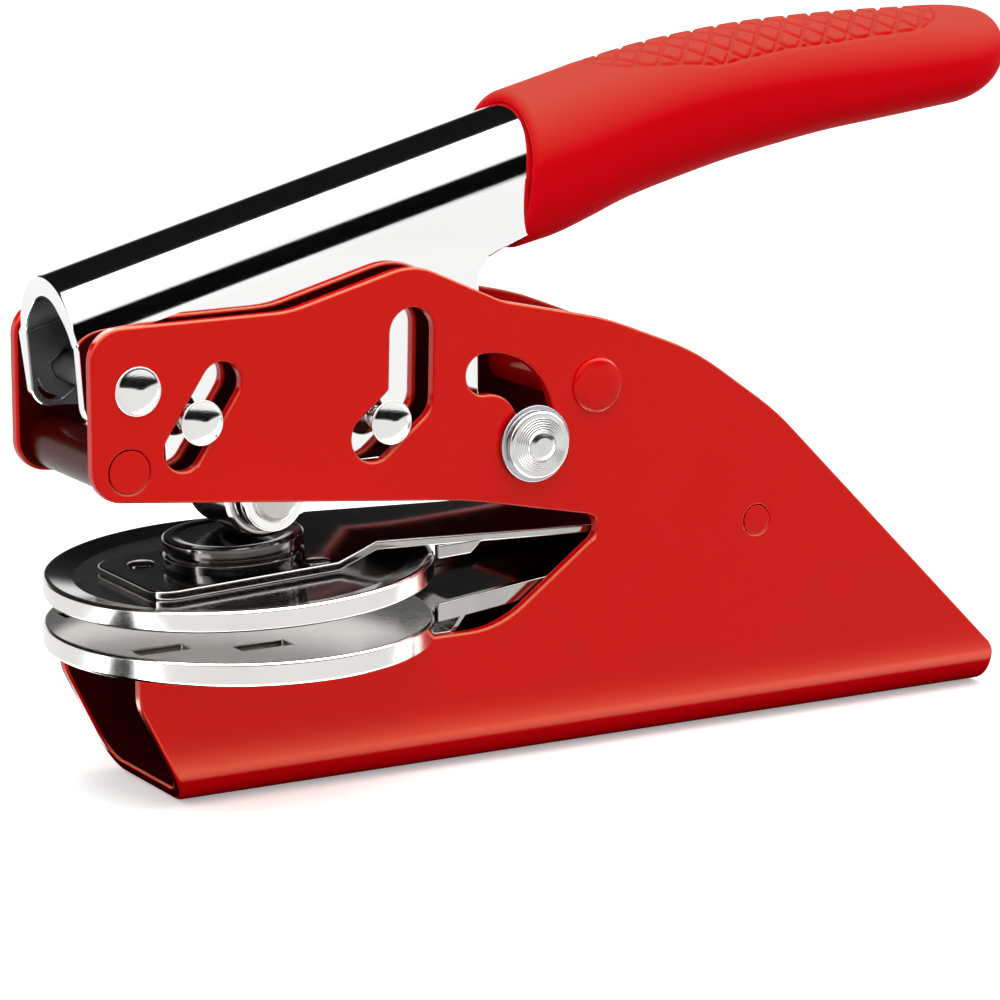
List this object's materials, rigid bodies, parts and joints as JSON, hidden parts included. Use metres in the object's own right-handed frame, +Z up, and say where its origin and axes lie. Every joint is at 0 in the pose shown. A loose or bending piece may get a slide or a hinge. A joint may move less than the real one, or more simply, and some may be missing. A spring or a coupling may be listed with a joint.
{
  "type": "seal embosser",
  "caption": "Hand-held seal embosser: red folded sheet frame, chrome lever with a rubber grip, roller, sprung upper die, fixed lower die and a sliding lock stud.",
  "frame": {"origin": "on the surface that the base stands on, straight below the middle of the lower die", "axes": "+X from the die end to the grip end, +Z up, the plane y = 0 lies midway between the side plates"},
  "size_m": [0.146, 0.0508, 0.0949],
  "materials": {
    "frame_paint": "gloss red powder coat",
    "bright_chrome": "mirror chrome",
    "polished_steel": "turned and polished",
    "dark_steel": "hardened, dark and glossy",
    "bush_bronze": "sintered bronze",
    "black_nickel": "black nickel, mirror bright",
    "satin_nickel": "satin nickel",
    "die_brass": "bare brass blank",
    "tang_steel": "mill finish",
    "grip_rubber": "satin red with a raised diamond pattern on its back"
  },
  "bodies": {
    "frame": {"frame_body": "frame_paint", "front_tie_rivet": "frame_paint", "rear_tie_rivet": "frame_paint", "pivot_pin": "polished_steel", "pivot_washers": "polished_steel", "lower_die_disc": "satin_nickel", "lower_die_plate": "die_brass", "lower_arm": "bright_chrome", "die_hinge_pin": "polished_steel"},
    "handle": {"handle_channel": "bright_chrome", "handle_tang": "tang_steel", "handle_grip": "grip_rubber", "front_guide_pin": "polished_steel", "rear_guide_pin": "polished_steel", "roller_axle": "polished_steel"},
    "roller": {"roller": "dark_steel", "roller_bush": "bush_bronze"},
    "upper_die": {"upper_die_disc": "black_nickel", "upper_die_plate": "satin_nickel", "upper_arm": "bright_chrome", "button_base": "dark_steel", "pressure_button": "dark_steel", "upper_arm_rivets": "bright_chrome"},
    "lock_stud": {"lock_stud": "polished_steel"},
    "lock_knobs": {"lock_knob_near": "polished_steel", "lock_knob_far": "polished_steel"}
  },
  "joints": [
    {"name": "handle_press", "type": "hinge", "parent": "frame", "child": "handle", "pos_m": [-0.028, 0, 0.0635], "axis": [0, 1, 0], "range_deg": [-12, 3.6]},
    {"name": "upper_die_press", "type": "hinge", "parent": "frame", "child": "upper_die", "pos_m": [0.072, 0, 0.0282], "axis": [0, 1, 0], "range_deg": [-1.5, 4.99]},
    {"name": "roller_spin", "type": "hinge", "parent": "handle", "child": "roller", "pos_m": [0.001, 0, 0.038], "axis": [0, 1, 0], "continuous": true},
    {"name": "lock_swing", "type": "hinge", "parent": "frame", "child": "lock_stud", "pos_m": [0.0303, 0, 0.045], "axis": [0, -1, 0], "range_deg": [0, 80]},
    {"name": "knob_turn", "type": "hinge", "parent": "lock_stud", "child": "lock_knobs", "pos_m": [0.03691, 0, 0.0424], "axis": [0, 1, 0], "continuous": true}
  ],
  "couplings": [
    {"joint": "upper_die_press", "follows": "handle_press", "ratio": -0.415}
  ]
}
